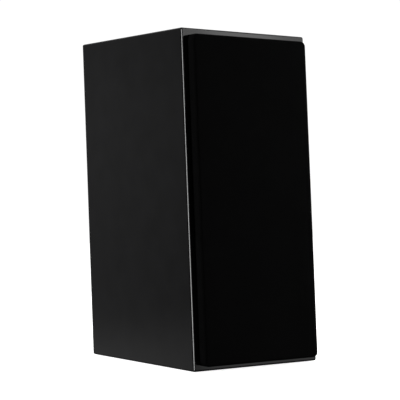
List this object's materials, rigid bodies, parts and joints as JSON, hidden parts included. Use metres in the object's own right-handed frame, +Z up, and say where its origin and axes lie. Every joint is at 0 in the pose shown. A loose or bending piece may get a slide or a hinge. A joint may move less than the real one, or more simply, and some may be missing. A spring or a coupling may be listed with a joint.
{
  "type": "bookshelf loudspeaker",
  "caption": "Upright black bookshelf loudspeaker with a pull-off cloth grille, cone woofer, dome tweeter, rear port and recessed binding posts.",
  "frame": {"origin": "middle of the overall footprint, on the surface that the rubber feet stand on", "axes": "+Z up along the cabinet's height, +X across its width, +Y from the grille to the rear panel"},
  "size_m": [0.157, 0.2074, 0.341],
  "materials": {
    "lacquer": "gloss",
    "mdf": "matte",
    "grille_board": "matte",
    "grille_cloth": "matte",
    "black_plastic": "satin",
    "rubber": "matte",
    "surround_rubber": "satin",
    "foam": "matte",
    "basket": "satin",
    "black_screw": "satin",
    "steel": "satin",
    "ferrite": "matte",
    "cone": "satin",
    "dust_cap": "satin",
    "spider": "matte",
    "copper": "satin",
    "silk": "satin",
    "gold_plate": "polished",
    "red_plastic": "gloss",
    "knob_black": "gloss",
    "zinc": "satin",
    "circuit_board": "satin",
    "capacitor": "satin",
    "cement": "matte",
    "nylon": "satin",
    "lead_insulation": "satin",
    "wadding": "matte"
  },
  "bodies": {
    "cabinet": {"side_panel_left": "lacquer", "side_panel_right": "lacquer", "bottom_panel": "lacquer", "top_panel": "lacquer", "front_baffle": "lacquer", "rear_panel": "lacquer", "window_brace": "mdf", "rubber_feet": "rubber", "wadding_left": "wadding", "wadding_right": "wadding", "grille_sockets": "rubber", "woofer_frame": "basket", "woofer_gasket": "foam", "woofer_screws": "black_screw", "woofer_top_plate": "steel", "woofer_magnet": "ferrite", "woofer_pole_and_back_plate": "steel", "woofer_terminal_tag": "circuit_board", "tweeter_faceplate": "black_plastic", "tweeter_gasket": "foam", "tweeter_screws": "black_screw", "tweeter_top_plate": "steel", "tweeter_magnet": "ferrite", "tweeter_yoke": "steel", "tweeter_terminals": "circuit_board", "lead_connectors": "zinc", "port_tube": "black_plastic", "terminal_cup": "black_plastic", "terminal_screws": "black_screw", "post_nuts": "gold_plate", "post_lugs": "gold_plate", "crossover_board": "circuit_board", "crossover_standoffs": "nylon", "crossover_screws": "zinc", "crossover_capacitors": "capacitor", "crossover_resistors": "cement", "woofer_inductor": "copper", "tweeter_inductor": "copper", "red_post_stud": "gold_plate", "red_post_collar": "red_plastic", "black_post_stud": "gold_plate", "black_post_collar": "knob_black", "input_leads": "lead_insulation", "woofer_leads": "lead_insulation", "tweeter_leads": "lead_insulation"},
    "grille": {"grille_frame": "grille_board", "grille_cloth": "grille_cloth", "grille_pegs": "black_plastic"},
    "woofer_moving_parts": {"woofer_cone": "cone", "woofer_dust_cap": "dust_cap", "woofer_voice_coil": "copper", "woofer_surround": "surround_rubber", "woofer_spider": "spider"},
    "tweeter_moving_parts": {"tweeter_dome": "silk", "tweeter_voice_coil": "copper", "tweeter_surround": "silk"},
    "red_knob_thread": {"red_knob_sleeve": "gold_plate"},
    "red_knob_grip": {"red_knob": "red_plastic"},
    "black_knob_thread": {"black_knob_sleeve": "gold_plate"},
    "black_knob_grip": {"black_knob": "knob_black"}
  },
  "joints": [
    {"name": "grille_pull_off", "type": "slide", "parent": "cabinet", "child": "grille", "axis": [0, -1, 0], "range_m": [0, 0.05]},
    {"name": "woofer_excursion", "type": "slide", "parent": "cabinet", "child": "woofer_moving_parts", "axis": [0, -1, 0], "range_m": [-0.004, 0.004], "stiffness_N_per_m": 1200, "deforming": ["woofer_surround", "woofer_spider"]},
    {"name": "tweeter_excursion", "type": "slide", "parent": "cabinet", "child": "tweeter_moving_parts", "axis": [0, -1, 0], "range_m": [-0.0003, 0.0003], "stiffness_N_per_m": 2000, "deforming": ["tweeter_surround"]},
    {"name": "red_knob_travel", "type": "slide", "parent": "cabinet", "child": "red_knob_thread", "axis": [0, 1, 0], "range_m": [0, 0.003]},
    {"name": "red_knob_turn", "type": "hinge", "parent": "red_knob_thread", "child": "red_knob_grip", "pos_m": [-0.0095, 0.09575, 0.085], "axis": [0, 1, 0], "range_deg": [0, 1100]},
    {"name": "black_knob_travel", "type": "slide", "parent": "cabinet", "child": "black_knob_thread", "axis": [0, 1, 0], "range_m": [0, 0.003]},
    {"name": "black_knob_turn", "type": "hinge", "parent": "black_knob_thread", "child": "black_knob_grip", "pos_m": [0.0095, 0.09575, 0.085], "axis": [0, 1, 0], "range_deg": [0, 1100]}
  ],
  "couplings": [
    {"joint": "red_knob_turn", "follows": "red_knob_travel", "rad_per_m": 6283.2},
    {"joint": "black_knob_turn", "follows": "black_knob_travel", "rad_per_m": 6283.2}
  ]
}
